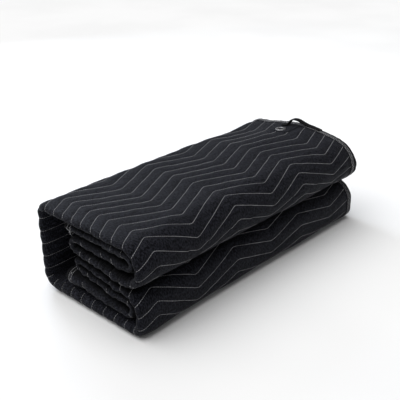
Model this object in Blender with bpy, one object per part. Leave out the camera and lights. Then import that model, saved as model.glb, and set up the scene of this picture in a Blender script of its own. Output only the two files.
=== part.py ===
"""A quilted sound blanket, folded in three along its bundle and then back and forth into eight layers.

X runs along the bundle, Y across it and Z up, in metres. The closed near folds are at -X, the bound cut edge
at +X, the rounded front folds at -Y and the spine at +Y. The origin is the middle of the underside.
The three plies together are called the strip. The strip is followed by the distance s along its middle line.
"""

import math

import bmesh
import bpy
import numpy as np
from mathutils import Vector
from mathutils.geometry import delaunay_2d_cdt

# The blanket and its bundle
CLOTH_SIDE = 2.03  # the side that is folded in three
LENGTH = CLOTH_SIDE / 3
NEAR_END = -LENGTH / 2
FAR_EDGE = LENGTH / 2  # the outer edge of the binding
FAR_FOLD = FAR_EDGE + 0.009  # how far the two inner plies reach past it
TUCK_BACK = 0.004  # how far the tucked ply stays back from the near fold
PLY_GAP = 0.0009
LAYER_GAP = 0.0011

# The layers from the bottom up: the thickness of three plies, and how far the near fold lies back
LAYERS = {
    "bottom": {"thick": 0.0255, "back": 0.0000},
    "end_b": {"thick": 0.0275, "back": 0.0035},
    "low_back": {"thick": 0.0180, "back": 0.0055},
    "low_front": {"thick": 0.0180, "back": 0.0045},
    "high_front": {"thick": 0.0265, "back": 0.0015},
    "high_back": {"thick": 0.0245, "back": 0.0055},
    "end_a": {"thick": 0.0220, "back": 0.0060},
    "top": {"thick": 0.0175, "back": 0.0000},
}

# The corners of the strip from free end A to free end B: place across, layer, radius, half thickness.
# A radius of None is half the way to the other corner of the same turn, which makes a half circle.
FREE_END_A = (0.052, "end_a")
CORNERS = [
    {"y": -0.1130, "layer": "end_a", "radius": None, "half": 0.0090},
    {"y": -0.1130, "layer": "high_back", "radius": None, "half": 0.0090},
    {"y": 0.0460, "layer": "high_back", "radius": None, "half": 0.0112},
    {"y": 0.0460, "layer": "high_front", "radius": None, "half": 0.0112},
    {"y": -0.1343, "layer": "high_front", "radius": 0.0320, "half": 0.0098},
    {"y": -0.1343, "layer": "top", "radius": 0.0410, "half": 0.0092},
    {"y": 0.1348, "layer": "top", "radius": 0.0130, "half": 0.0092},
    {"y": 0.1338, "layer": "bottom", "radius": 0.0310, "half": 0.0105},
    {"y": -0.1327, "layer": "bottom", "radius": 0.0150, "half": 0.0105},
    {"y": -0.1327, "layer": "low_front", "radius": 0.0310, "half": 0.0088},
    {"y": 0.0395, "layer": "low_front", "radius": None, "half": 0.0084},
    {"y": 0.0395, "layer": "low_back", "radius": None, "half": 0.0084},
    {"y": -0.1115, "layer": "low_back", "radius": None, "half": 0.0090},
    {"y": -0.1115, "layer": "end_b", "radius": None, "half": 0.0098},
]
FREE_END_B = (0.057, "end_b")
SPINE_HALF = 0.0094
RAMP = 0.020  # over this length a layer swells from its turn to its full thickness
END_PRESS = 0.0008  # how much thinner each face is at a free end
TALL = sum(row["thick"] + LAYER_GAP for row in LAYERS.values()) - LAYER_GAP
WIDE = CORNERS[6]["y"] - CORNERS[5]["y"] + 2 * CORNERS[6]["half"]

# The near folds are pressed thinner than the layers
RIM_PRESS = 0.22
RIM_REACH = 0.033

# Quilting: lines in zigzag along the bundle
PITCH = 0.031
RELIEF = 0.0019
HALF_WAVE = 0.1138
ZIGZAG = 0.042  # from the top of the zigzag to its bottom
FIRST_BEND = -0.294
BENDS = 6
LOBE_FOLLOW = 0.55  # the zigzag is made smaller round the front folds, where a row is long
SPINE_FOLLOW = 0.15
QUARTER_SWELL = (0.0, 0.7, 1.0, 0.7)  # the relief at the quarters of a column between two quilting lines

# How much of the zigzag the columns follow: a mark on the strip, how far past it, and the share
FOLLOW_ROWS = [
    ("first", 0.0, 0.0),
    ("first", 0.030, LOBE_FOLLOW),
    ("top_start", 0.0, LOBE_FOLLOW),
    ("top_start", 0.040, 1.0),
    ("spine_top_in", -0.035, 1.0),
    ("spine_top_in", -0.004, SPINE_FOLLOW),
    ("spine_top_out", 0.004, SPINE_FOLLOW),
    ("spine_top_out", 0.035, 1.0),
    ("spine_low_in", -0.020, 1.0),
    ("spine_low_in", 0.010, 0.0),
    ("front_low_out", -0.010, 0.0),
    ("front_low_out", 0.018, LOBE_FOLLOW),
    ("last", -0.018, LOBE_FOLLOW),
    ("last", 0.0, 0.0),
]

# How much of the relief shows, in the same way
SWELL_ROWS = [
    ("first", 0.0, 0.0),
    ("first", 0.020, 1.0),
    ("spine_low_in", 0.0, 1.0),
    ("spine_low_in", 0.015, 0.0),
    ("front_low_out", -0.005, 0.0),
    ("front_low_out", 0.010, 1.0),
    ("last", -0.015, 1.0),
    ("last", 0.0, 0.0),
]
EDGE_FADE = (0.030, 0.012)  # before the tape the relief fades from the first distance to the second
PATCH_FADE_X = (0.222, 0.238)
PATCH_FADE_Y = (0.030, 0.045)

# The bundle is fuller towards the far end
LIFT = 0.0161
LIFT_FROM, LIFT_TO = -0.133, 0.322
SPREAD = 0.0081
SADDLE = 0.0048
SADDLE_AT, SADDLE_REACH = 0.216, 0.055
DOME_Y = -0.005

# Inside the wrap the layers lie higher towards the spine
PACK_LIFT = 0.015
PACK_ACROSS, PACK_CLEAR = (-0.090, 0.050), (0.080, 0.110)
PACK_LOW, PACK_HIGH = (0.005, 0.060), (0.080, 0.182)

# The middle of the finished bundle, which becomes the origin
MIDDLE_X, MIDDLE_Y = 0.0047, -0.0033

# Binding tape, patch, eyelet and loop
SEAT = 0.0003  # the gap between pieces that touch
TAPE = 0.013
TAPE_ROUND_X, TAPE_ROUND_N = 0.0015, 0.0012
PATCH_Y, PATCH_X = 0.0180, 0.2950
PATCH_SIDE_Y, PATCH_SIDE_X = 0.050, 0.077
PATCH_THICK = 0.0024
PATCH_SEAT = 0.0007
EYELET_X = 0.2720
EYELET_BARREL = 0.0075
LOOP_WIDE = 0.0145
LOOP_THICK = 0.0020

# The eyelet's flange: radius, and height over the patch
EYELET_FACE = [
    (0.0065, 0.0014),
    (0.0075, 0.0020),
    (0.0093, 0.0020),
    (0.0130, 0.0011),
    (0.0130, 0.0006),
]

# The loop's underside: place across, height over what carries that foot, and place along the bundle
LOOP_LEFT = [
    (0.0310, 0.0, 0.300),
    (0.0230, 0.0, 0.301),
    (0.0180, 0.0005, 0.303),
    (0.0160, 0.0040, 0.306),
    (0.0140, 0.0085, 0.309),
    (0.0110, 0.0118, 0.312),
]
LOOP_RIGHT = [
    (0.0060, 0.0132, 0.316),
    (-0.0015, 0.0120, 0.320),
    (-0.0125, 0.0092, 0.324),
    (-0.0240, 0.0052, 0.327),
    (-0.0330, 0.0015, 0.329),
    (-0.0400, 0.0, 0.329),
    (-0.0530, 0.0, 0.329),
]

# How many steps the shapes are made in, and the short way over which a slope is read
NUDGE = 0.0010
TINY = 0.000001
ARC_STEPS = 5
HIDDEN_STEPS = 3
EYELET_STEPS = 24
PLAIN_STEP = 0.045
LEAST_STEP = 0.0015
EDGE_STEP = 0.013
BEND_MARGIN = 0.004
INNER_ROWS = (-0.22, -0.08, 0.07, 0.21)

COLOURS = {
    "blanket": ((0.018, 0.018, 0.022), 0.92, 0.0),
    "binding": ((0.010, 0.010, 0.012), 0.85, 0.0),
    "webbing": ((0.008, 0.008, 0.009), 0.70, 0.0),
    "eyelet": ((0.62, 0.62, 0.63), 0.28, 1.0),
}


def layer_heights():
    """The height of each layer's middle line."""
    heights, top = {}, 0.0
    for name, row in LAYERS.items():
        heights[name] = top + row["thick"] / 2
        top += row["thick"] + LAYER_GAP
    return heights


def smooth(value, low, high):
    """0 below low, 1 above high and a soft S between them."""
    t = min(1.0, max(0.0, (value - low) / (high - low)))
    return t * t * (3 - 2 * t)


class Strip:
    """The strip's middle line in the YZ plane, with its rounded corners, its thickness and its set-back."""

    def __init__(self):
        heights = layer_heights()
        places = [(FREE_END_A[0], heights[FREE_END_A[1]])]
        places += [(c["y"], heights[c["layer"]]) for c in CORNERS]
        places += [(FREE_END_B[0], heights[FREE_END_B[1]])]
        self.places = [np.array(p) for p in places]
        self.segments, self.arcs = [], []
        start, s = self.places[0], 0.0
        for i, corner in enumerate(CORNERS, 1):
            here = self.places[i]
            into = self.unit(here - self.places[i - 1])
            out = self.unit(self.places[i + 1] - here)
            radius = corner["radius"] or self.half_turn(i)
            run = np.linalg.norm(here - radius * into - start)
            self.segments.append(("line", s, run, start, into))
            s += run
            side = math.copysign(1.0, into[0] * out[1] - into[1] * out[0])
            sweep = radius * math.pi / 2
            centre = here + radius * (out - into)
            self.segments.append(("arc", s, sweep, centre, into, radius, side))
            self.arcs.append((s, s + sweep))
            s += sweep
            start = here + radius * out
        run = np.linalg.norm(self.places[-1] - start)
        self.segments.append(("line", s, run, start, self.unit(self.places[-1] - start)))
        self.total = s + run
        self.half_at = self.thickness_knots()
        self.back_at = [((first + last) / 2, LAYERS[name]["back"]) for first, last, name in self.runs()]

    @staticmethod
    def unit(v):
        return v / np.linalg.norm(v)

    def half_turn(self, i):
        """Half the way between the two corners of a turn that is a half circle."""
        mate = i + 1 if i % 2 else i - 1
        return abs(self.places[i][1] - self.places[mate][1]) / 2

    def runs(self):
        """The stretches that are layers: where each begins and ends along the strip, and its name."""
        starts = [0.0] + [last for _, last in self.arcs[1::2]]
        ends = [first for first, _ in self.arcs[0::2]] + [self.total]
        names = [c["layer"] for c in CORNERS[0::2]] + [FREE_END_B[1]]
        return list(zip(starts, ends, names))

    def thickness_knots(self):
        """Half the strip's thickness at places along it. The outer layers are full from corner to corner."""
        knots = [((first + last) / 2, c["half"]) for (first, last), c in zip(self.arcs, CORNERS)]
        for first, last, name in self.runs():
            full = LAYERS[name]["thick"] / 2
            ramp = 0.0 if name in ("top", "bottom") else RAMP
            free = [first == 0.0, last == self.total]
            knots.append((first if free[0] else first + ramp, full - free[0] * END_PRESS))
            knots.append((last if free[1] else last - ramp, full - free[1] * END_PRESS))
            if any(free):
                knots.append((first + ramp if free[1] else last - ramp, full))
        knots.append(((self.arcs[6][1] + self.arcs[7][0]) / 2, SPINE_HALF))
        return sorted(set(knots))

    def point(self, s):
        """The middle line's point and its left-hand normal at a distance along the strip."""
        found = self.segments[0]
        for segment in self.segments:
            if s >= segment[1]:
                found = segment
        if found[0] == "line":
            _, first, _, start, along = found
            return start + (s - first) * along, np.array([-along[1], along[0]])
        _, first, _, centre, into, radius, side = found
        turn = side * (s - first) / radius
        along = np.array(
            [
                into[0] * math.cos(turn) - into[1] * math.sin(turn),
                into[0] * math.sin(turn) + into[1] * math.cos(turn),
            ]
        )
        normal = np.array([-along[1], along[0]])
        return centre - side * radius * normal, normal

    def half(self, s):
        return float(np.interp(s, *zip(*self.half_at)))

    def back(self, s):
        return float(np.interp(s, *zip(*self.back_at)))

    def marks(self):
        """Named places along the part of the strip that shows, from its first bend to its last."""
        return {
            "first": self.arcs[4][0],
            "top_start": self.arcs[5][1],
            "spine_top_in": self.arcs[6][0],
            "spine_top_out": self.arcs[6][1],
            "spine_low_in": self.arcs[7][0],
            "front_low_out": self.arcs[8][1],
            "last": self.arcs[9][1],
        }


STRIP = Strip()


def pack(y, z):
    """The height of a point once the layers inside the wrap are raised."""
    left = smooth(y, *PACK_ACROSS) * (1 - smooth(y, *PACK_CLEAR))
    return z + PACK_LIFT * left * smooth(z, *PACK_LOW) * (1 - smooth(z, *PACK_HIGH))


def settle(x, y, z):
    """Moves a point of the even bundle to where it lies in the real one, which is fuller at its far end."""
    far = smooth(x, LIFT_FROM, LIFT_TO)
    across = math.cos(min(1.0, abs(y - DOME_Y) / (WIDE / 2)) * math.pi / 2) ** 2
    saddle = SADDLE * math.exp(-(((x - SADDLE_AT) / SADDLE_REACH) ** 2)) * smooth(y, 0.0, WIDE / 2)
    lifted = pack(y, z) * (1 + (LIFT * far * across - saddle) / TALL)
    spread = y - SPREAD * far * max(0.0, -y / (WIDE / 2))
    return x - MIDDLE_X, spread - MIDDLE_Y, lifted


def at(s, x, n):
    """The point n out from the strip's middle line, at a distance s along it and a place x."""
    middle, normal = STRIP.point(s)
    press = 1 - RIM_PRESS * (1 - smooth(x - NEAR_END, 0.0, RIM_REACH))
    y, z = middle + n * press * normal
    return settle(x, y, z)


def zigzag(x):
    """How far the quilting lines lie to the side at a place along the bundle."""
    phase = ((x - FIRST_BEND) / HALF_WAVE) % 2
    return ZIGZAG * (abs(phase - 1) - 0.5)


def share(rows, s):
    """The value of a table of marks at a distance along the strip."""
    marks = STRIP.marks()
    return float(np.interp(s, [marks[name] + past for name, past, _ in rows], [row[2] for row in rows]))


def swell(s, x):
    """How much of the quilting's relief shows: none underneath, at the bound edge or under the patch."""
    cloth_edge = FAR_EDGE - TAPE
    edge = 1 - smooth(x, cloth_edge - EDGE_FADE[0], cloth_edge - EDGE_FADE[1])
    patch = smooth(x, *PATCH_FADE_X) * (1 - smooth(abs(s - top_place(PATCH_Y)), *PATCH_FADE_Y))
    return share(SWELL_ROWS, s) * edge * (1 - patch)


def top_place(y):
    """The distance along the strip at which its top layer is at a place across."""
    return STRIP.arcs[5][1] + y - STRIP.point(STRIP.arcs[5][1])[0][0]


def stations():
    """Places along the strip at which its section is made, with the quilting's phase from 0 to 1."""
    marks = STRIP.marks()
    first, last = marks["first"], marks["last"]
    flat_base = STRIP.arcs[7][1] + BEND_MARGIN, STRIP.arcs[8][0] - BEND_MARGIN
    found = [(0.0, 0.0), (STRIP.total, 0.0)]
    for kind, s, length in (segment[:3] for segment in STRIP.segments):
        hidden = s < first - TINY or s > last - TINY
        if kind == "arc" and hidden:
            found += [(s + length * k / HIDDEN_STEPS, 0.0) for k in range(HIDDEN_STEPS + 1)]
        if kind == "line" and hidden and length > PLAIN_STEP:
            count = math.ceil(length / PLAIN_STEP)
            found += [(s + length * k / count, 0.0) for k in range(1, count)]
    quarters = round((last - first) / PITCH) * 4
    for k in range(quarters + 1):
        s = first + (last - first) * k / quarters
        on_arc = any(a - BEND_MARGIN < s < b + BEND_MARGIN for a, b in STRIP.arcs)
        on_base = flat_base[0] < s < flat_base[1]
        if k % 2 == 0 and not on_base or on_arc or k % 8 == 0:
            found.append((s, QUARTER_SWELL[k % 4]))
    kept = []
    for s, phase in sorted(found):
        if not kept or s - kept[-1][0] > LEAST_STEP:
            kept.append((s, phase))
    kept[-1] = (STRIP.total, 0.0)
    return kept


def outer_rows(near_centre):
    """The places along the bundle of the outer face's rows, from the far edge to the near fold."""
    bends = [FIRST_BEND + HALF_WAVE * k / 2 for k in range(2 * BENDS - 1)]
    edge = FAR_EDGE - TAPE - SEAT
    return [edge, edge - EDGE_STEP, *reversed(bends), near_centre]


def section(s, phase):
    """The outline of the three plies at a station, as (x, n, shift, swell) rows round the section."""
    half = STRIP.half(s)
    ply = (2 * half - 2 * PLY_GAP) / 3
    step = ply + PLY_GAP
    near = NEAR_END + STRIP.back(s) + step + ply / 2
    far = FAR_FOLD - step / 2 - ply / 2
    edge = FAR_EDGE - TAPE - SEAT
    tuck = near + TUCK_BACK
    rows = []

    def arc(x, n, radius, first, last, count):
        for k in range(count + 1):
            a = math.radians(first + (last - first) * k / count)
            rows.append((x + radius * math.cos(a), n + radius * math.sin(a), 0.0, 0.0))

    # Outside: the outer ply's face, round the near fold, the third ply's face, round the far fold
    for x in outer_rows(near):
        rows.append((x, step + ply / 2, 1.0, phase))
    arc(near, 0.0, step + ply / 2, 90 + 180 / ARC_STEPS, 270, ARC_STEPS - 1)
    rows.extend((x, -step - ply / 2, 0.0, 0.0) for x in INNER_ROWS)
    arc(far, -step / 2, step / 2 + ply / 2, -90, 90, 4)
    # Inside: the tucked ply, the slot round its cut edge, and back to the bound edge
    rows.extend((x, ply / 2, 0.0, 0.0) for x in reversed(INNER_ROWS))
    rows += [(tuck, ply / 2, 0.0, 0.0), (tuck, -ply / 2, 0.0, 0.0)]
    rows.extend((x, -ply / 2, 0.0, 0.0) for x in INNER_ROWS)
    arc(far, -step / 2, step / 2 - ply / 2, 90, -90, 2)
    rows.extend((x, -step + ply / 2, 0.0, 0.0) for x in reversed(INNER_ROWS))
    arc(near, 0.0, step - ply / 2, 270, 90, 3)
    rows.extend((x, step - ply / 2, 0.0, 0.0) for x in INNER_ROWS)
    rows.append((edge, step - ply / 2, 0.0, 0.0))
    return rows


def section_points(s, phase):
    """The section's outline in space, with the quilting's shift and relief on its outer face."""
    found = []
    for x, n, shifts, swells in section(s, phase):
        moved = s + shifts * share(FOLLOW_ROWS, s) * zigzag(x)
        relief = RELIEF * swells * swell(moved, x)
        found.append(at(moved, x, n + relief))
    return found


def close_end(mesh, ring):
    """Fills a ring of vertices, whose plane runs along X, with triangles that have no points in one line."""
    places = np.array([vertex.co for vertex in ring])
    spread = places[:, 1:] - places[:, 1:].mean(axis=0)
    across = np.linalg.svd(spread)[2][0]
    flat = [Vector((x, float(np.dot(offset, across)))) for x, offset in zip(places[:, 0], spread)]
    _, _, faces, origins, _, _ = delaunay_2d_cdt(flat, [], [list(range(len(ring)))], 1, TINY / 10)
    for face in faces:
        mesh.faces.new([ring[origins[i][0]] for i in face])


def sweep(rings):
    """A closed mesh through rings of points, capped at both ends."""
    mesh = bmesh.new()
    loops = [[mesh.verts.new(p) for p in ring] for ring in rings]
    count = len(loops[0])
    for a, b in zip(loops, loops[1:]):
        for i in range(count):
            mesh.faces.new((a[i], a[(i + 1) % count], b[(i + 1) % count], b[i]))
    close_end(mesh, loops[0])
    close_end(mesh, loops[-1])
    return mesh


def revolve(profile, steps, place):
    """A closed ring, made by turning a profile of (radius, height) pairs. place() puts it in space."""
    mesh = bmesh.new()
    loops = []
    for k in range(steps):
        a = 2 * math.pi * k / steps
        loops.append([mesh.verts.new(place(r * math.cos(a), r * math.sin(a), h)) for r, h in profile])
    count = len(profile)
    for k in range(steps):
        a, b = loops[k], loops[(k + 1) % steps]
        for i in range(count):
            mesh.faces.new((a[i], a[(i + 1) % count], b[(i + 1) % count], b[i]))
    return mesh


def make_material(name):
    colour, roughness, metallic = COLOURS[name]
    material = bpy.data.materials.new(name)
    material.use_nodes = True
    shader = material.node_tree.nodes["Principled BSDF"]
    shader.inputs["Base Color"].default_value = (*colour, 1.0)
    shader.inputs["Roughness"].default_value = roughness
    shader.inputs["Metallic"].default_value = metallic
    return material


def add(name, mesh, material):
    """An object from a mesh whose faces are turned outwards."""
    bmesh.ops.recalc_face_normals(mesh, faces=mesh.faces)
    if mesh.calc_volume(signed=True) < 0:
        bmesh.ops.reverse_faces(mesh, faces=mesh.faces)
    data = bpy.data.meshes.new(name)
    mesh.to_mesh(data)
    mesh.free()
    data.materials.append(material)
    item = bpy.data.objects.new(name, data)
    bpy.context.scene.collection.objects.link(item)
    return item


def blanket(material):
    """The whole cloth, its three plies swept along the strip."""
    return add("blanket", sweep([section_points(s, phase) for s, phase in stations()]), material)


def edge_binding(material):
    """The tape along the outer ply's cut edge, from one free end to the other."""
    rings = []
    for s, _ in stations():
        half = STRIP.half(s)
        ply = (2 * half - 2 * PLY_GAP) / 3
        low, high = half - ply, half - SEAT
        first, last = FAR_EDGE - TAPE, FAR_EDGE
        outline = [(first, low), (first, high), (last - TAPE_ROUND_X, high), (last, high - TAPE_ROUND_N)]
        outline += [(last, low + TAPE_ROUND_N), (last - TAPE_ROUND_X, low)]
        rings.append([at(s, x, n) for x, n in outline])
    return add("binding_edge", sweep(rings), material)


def end_binding(name, first, last, material):
    """The tape along a free end of the strip, round all three plies."""
    rings = []
    for s in (first, last):
        inside = min(max(s, 0.0), STRIP.total)
        rings.append([at(s, x, n) for x, n, *_ in section(inside, 0.0)])
    return add(name, sweep(rings), material)


def on_top(y, x, rise):
    """A point over the outer face of the top layer, straight out from it."""
    s = top_place(y)
    here = np.array(at(s, x, STRIP.half(s)))
    along = np.array(at(s, x + NUDGE, STRIP.half(s))) - here
    across = np.array(at(s + NUDGE, x, STRIP.half(s + NUDGE))) - here
    out = np.cross(along, across)
    return here + rise * out / np.linalg.norm(out)


def patch(material):
    """A patch of webbing on the bound edge, with the eyelet's hole in it."""
    mesh = bmesh.new()
    loops = []
    for rise in (PATCH_SEAT, PATCH_SEAT + PATCH_THICK):
        outer, inner = [], []
        for k in range(EYELET_STEPS):
            a = 2 * math.pi * (k + 0.5) / EYELET_STEPS
            ca, sa = math.cos(a), math.sin(a)
            reach = 1 / max(abs(ca) / (PATCH_SIDE_X / 2), abs(sa) / (PATCH_SIDE_Y / 2))
            outer.append(mesh.verts.new(on_top(PATCH_Y + reach * sa, PATCH_X + reach * ca, rise)))
            hole = EYELET_BARREL + SEAT
            inner.append(mesh.verts.new(on_top(PATCH_Y + hole * sa, EYELET_X + hole * ca, rise)))
        loops.append((outer, inner))
    ring = [loops[0][0], loops[1][0], loops[1][1], loops[0][1]]
    for a, b in zip(ring, ring[1:] + ring[:1]):
        for k in range(EYELET_STEPS):
            n = (k + 1) % EYELET_STEPS
            mesh.faces.new((a[k], a[n], b[n], b[k]))
    return add("patch", mesh, material)


def eyelet(material):
    """The metal eyelet: a flange on the patch and a barrel down through it."""
    centre = on_top(PATCH_Y, EYELET_X, PATCH_SEAT)
    up = (on_top(PATCH_Y, EYELET_X, PATCH_SEAT + NUDGE) - centre) / NUDGE
    along = on_top(PATCH_Y, EYELET_X + NUDGE, PATCH_SEAT) - centre
    along /= np.linalg.norm(along)
    across = np.cross(up, along)
    face = [(radius, PATCH_THICK + rise) for radius, rise in EYELET_FACE]
    profile = [(face[0][0], 0.0), *face, (EYELET_BARREL, face[-1][1]), (EYELET_BARREL, 0.0)]
    mesh = revolve(profile, EYELET_STEPS, lambda u, v, h: centre + u * along + v * across + h * up)
    return add("eyelet", mesh, material)


def loop(material):
    """The hanging loop of webbing, one foot on the patch and the other on the bound edge."""
    on_patch = PATCH_SEAT + PATCH_THICK + SEAT
    feet = [(y, on_patch + h) for y, h, _ in LOOP_LEFT] + [(y, PATCH_SEAT + h) for y, h, _ in LOOP_RIGHT]
    line = [np.array(p) for p in feet]
    rings = []
    for k, (here, row) in enumerate(zip(line, LOOP_LEFT + LOOP_RIGHT)):
        ahead = line[min(k + 1, len(line) - 1)] - line[max(k - 1, 0)]
        ahead /= np.linalg.norm(ahead)
        upper = here + LOOP_THICK * np.array([ahead[1], -ahead[0]])
        low_x, high_x = row[2] - LOOP_WIDE / 2, row[2] + LOOP_WIDE / 2
        outline = [(low_x, here), (high_x, here), (high_x, upper), (low_x, upper)]
        rings.append([on_top(y, x, h) for x, (y, h) in outline])
    return add("hang_loop", sweep(rings), material)


def build():
    for item in list(bpy.data.objects):
        bpy.data.objects.remove(item, do_unlink=True)
    materials = {name: make_material(name) for name in COLOURS}
    blanket(materials["blanket"])
    edge_binding(materials["binding"])
    end_binding("binding_end_a", -TAPE, -SEAT, materials["binding"])
    end_binding("binding_end_b", STRIP.total + SEAT, STRIP.total + TAPE, materials["binding"])
    patch(materials["webbing"])
    eyelet(materials["eyelet"])
    loop(materials["webbing"])


build()
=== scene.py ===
import math

import bpy
import numpy as np
from mathutils import Matrix, Vector
from mathutils.geometry import delaunay_2d_cdt


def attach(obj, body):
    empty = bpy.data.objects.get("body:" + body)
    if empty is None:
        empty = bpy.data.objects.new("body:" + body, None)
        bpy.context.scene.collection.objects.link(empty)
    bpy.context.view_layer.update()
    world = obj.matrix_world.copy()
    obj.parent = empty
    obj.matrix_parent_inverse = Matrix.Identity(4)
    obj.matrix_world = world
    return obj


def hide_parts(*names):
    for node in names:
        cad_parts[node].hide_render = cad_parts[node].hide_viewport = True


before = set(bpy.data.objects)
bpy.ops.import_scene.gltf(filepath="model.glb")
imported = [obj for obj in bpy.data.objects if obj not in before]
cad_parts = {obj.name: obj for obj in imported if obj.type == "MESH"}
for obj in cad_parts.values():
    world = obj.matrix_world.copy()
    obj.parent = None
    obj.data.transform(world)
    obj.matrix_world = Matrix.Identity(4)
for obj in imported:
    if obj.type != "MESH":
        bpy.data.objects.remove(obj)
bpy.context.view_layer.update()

# The bundle's sizes, which are the part's own, in metres
LENGTH = 2.03 / 3
NEAR_END, FAR_EDGE = -LENGTH / 2, LENGTH / 2
FAR_FOLD = FAR_EDGE + 0.009
PLY_GAP, LAYER_GAP = 0.0009, 0.0011
TUCK_BACK = 0.004
TAPE, SEAT = 0.013, 0.0003
CLOTH_EDGE = FAR_EDGE - TAPE - SEAT

# The layers from the bottom up: the thickness of three plies, and how far the near fold lies back
LAYERS = {
    "bottom": {"thick": 0.0255, "back": 0.0000},
    "end_b": {"thick": 0.0275, "back": 0.0035},
    "low_back": {"thick": 0.0180, "back": 0.0055},
    "low_front": {"thick": 0.0180, "back": 0.0045},
    "high_front": {"thick": 0.0265, "back": 0.0015},
    "high_back": {"thick": 0.0245, "back": 0.0055},
    "end_a": {"thick": 0.0220, "back": 0.0060},
    "top": {"thick": 0.0175, "back": 0.0000},
}
FREE_END_A = (0.052, "end_a")
CORNERS = [
    {"y": -0.1130, "layer": "end_a", "radius": None, "half": 0.0090},
    {"y": -0.1130, "layer": "high_back", "radius": None, "half": 0.0090},
    {"y": 0.0460, "layer": "high_back", "radius": None, "half": 0.0112},
    {"y": 0.0460, "layer": "high_front", "radius": None, "half": 0.0112},
    {"y": -0.1343, "layer": "high_front", "radius": 0.0320, "half": 0.0098},
    {"y": -0.1343, "layer": "top", "radius": 0.0410, "half": 0.0092},
    {"y": 0.1348, "layer": "top", "radius": 0.0130, "half": 0.0092},
    {"y": 0.1338, "layer": "bottom", "radius": 0.0310, "half": 0.0105},
    {"y": -0.1327, "layer": "bottom", "radius": 0.0150, "half": 0.0105},
    {"y": -0.1327, "layer": "low_front", "radius": 0.0310, "half": 0.0088},
    {"y": 0.0395, "layer": "low_front", "radius": None, "half": 0.0084},
    {"y": 0.0395, "layer": "low_back", "radius": None, "half": 0.0084},
    {"y": -0.1115, "layer": "low_back", "radius": None, "half": 0.0090},
    {"y": -0.1115, "layer": "end_b", "radius": None, "half": 0.0098},
]
FREE_END_B = (0.057, "end_b")
SPINE_HALF, RAMP, END_PRESS = 0.0094, 0.020, 0.0008
TALL = sum(row["thick"] + LAYER_GAP for row in LAYERS.values()) - LAYER_GAP
WIDE = CORNERS[6]["y"] - CORNERS[5]["y"] + 2 * CORNERS[6]["half"]
RIM_PRESS, RIM_REACH = 0.22, 0.033

# The warp of the whole bundle, which is fuller at its far end
LIFT, LIFT_FROM, LIFT_TO = 0.0161, -0.133, 0.322
SPREAD = 0.0081
SADDLE, SADDLE_AT, SADDLE_REACH = 0.0048, 0.216, 0.055
DOME_Y = -0.005

# Inside the wrap the layers lie higher towards the spine
PACK_LIFT = 0.015
PACK_ACROSS, PACK_CLEAR = (-0.090, 0.050), (0.080, 0.110)
PACK_LOW, PACK_HIGH = (0.005, 0.060), (0.080, 0.182)
MIDDLE_X, MIDDLE_Y = 0.0047, -0.0033

# The quilting: zigzag lines along the bundle, a pitch apart round the outer face
PITCH = 0.0276
LINE_ON_TOP = 0.622
FIRST_LINE = LINE_ON_TOP % PITCH
# Its bends: place along the cloth, how far aside the lines lie there, how much further apart on top,
# and how far aside they lie on the lower lobe
BENDS = [
    (-0.600, -0.010, 0.0, 0.006),
    (-0.400, -0.012, 0.0, 0.004),
    (-0.340, -0.010, 0.060, 0.005),
    (-0.2919, 0.0134, 0.120, 0.0250),
    (-0.1869, -0.0304, 0.009, -0.0239),
    (-0.0711, 0.0211, 0.035, 0.0158),
    (0.0366, -0.0168, -0.045, -0.0130),
    (0.1376, 0.0242, -0.077, 0.0130),
    (0.2486, -0.0142, -0.110, -0.0076),
    (0.3450, 0.0160, -0.090, 0.0180),
]
LOWER_LOBE = (1.15, 1.30)
BEND_ROUND = 0.005
APART_REACH = (0.110, 0.330)  # how far from that line the lines lie further apart, and where it ends
RELIEF, GROOVE = 0.0010, 0.0005
HIDDEN_GROOVE = 0.0006
FLOOR_GAP, THREAD_GAP = 0.0004, 0.0010  # how near cloth and thread come to the floor
GAP_SHADE, GAP_REACH = 0.85, (0.30, 0.95)  # how much painted shade darkens the gaps between the inner layers, and over which part of a fold
FREE_FADE = (0.030, 0.075)  # the zigzag fades towards the free ends over these distances
SWELL_ROWS = [
    ("first", 0.0, 0.0),
    ("first", 0.020, 1.0),
    ("spine_low_in", 0.0, 1.0),
    ("spine_low_in", 0.015, 0.0),
    ("front_low_out", -0.005, 0.0),
    ("front_low_out", 0.010, 1.0),
    ("last", -0.015, 1.0),
    ("last", 0.0, 0.0),
]
INNER_SHARE = [("first", 0.0, 1.0), ("first", 0.020, 0.0), ("last", -0.015, 0.0), ("last", 0.0, 1.0)]
EDGE_FADE = (0.030, 0.012)
PATCH_FADE_X = (0.222, 0.238)
PATCH_FADE_Y = (0.030, 0.045)

# How fine the cloth's grid is: phases of its stations between two lines, and rows
SHOWN_PHASES = (0.0, 0.07, 0.19, 0.34, 0.5, 0.66, 0.81, 0.93)
HIDDEN_PHASES = (0.0, 0.12, 0.31, 0.5, 0.69, 0.88)
FACE_ROWS = 150
FOLD_ROWS = 12
BACK_ROWS = (0.008, 0.018, 0.03, 0.045, 0.065, 0.09, 0.12, 0.16, 0.2, 0.25, 0.3, 0.35, 0.42, 0.5, 0.6, 0.7, 0.8, 0.9, 1.0)
INNER_ROWS = (-0.22, -0.08, 0.07, 0.21)

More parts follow.
